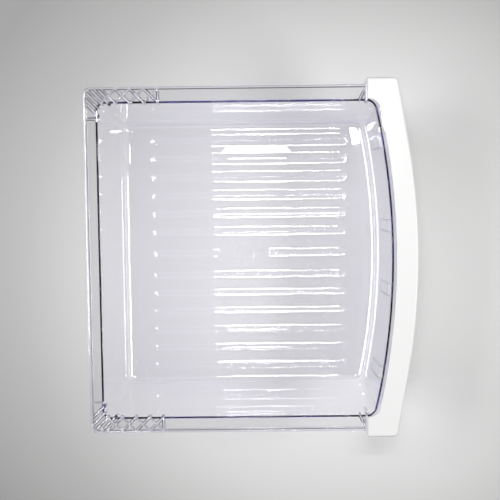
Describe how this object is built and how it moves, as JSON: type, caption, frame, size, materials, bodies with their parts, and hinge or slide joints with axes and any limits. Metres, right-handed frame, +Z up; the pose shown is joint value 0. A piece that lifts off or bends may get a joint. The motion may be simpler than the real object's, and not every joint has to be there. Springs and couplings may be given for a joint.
{
  "type": "refrigerator deli drawer",
  "caption": "Clear plastic refrigerator drawer with a ribbed floor, rim flanges that hang on rails, and a white bowed pull front across its width.",
  "frame": {"origin": "on the surface the drawer stands on, under the middle of its footprint", "axes": "+X across the width, -Y towards the white front, +Z up out of the mouth"},
  "size_m": [0.406, 0.374, 0.13],
  "materials": {
    "clear_pan": "clear gloss",
    "front_handle": "satin gloss"
  },
  "bodies": {
    "root": {"clear_pan": "clear_pan", "front_handle": "front_handle"}
  },
  "joints": []
}
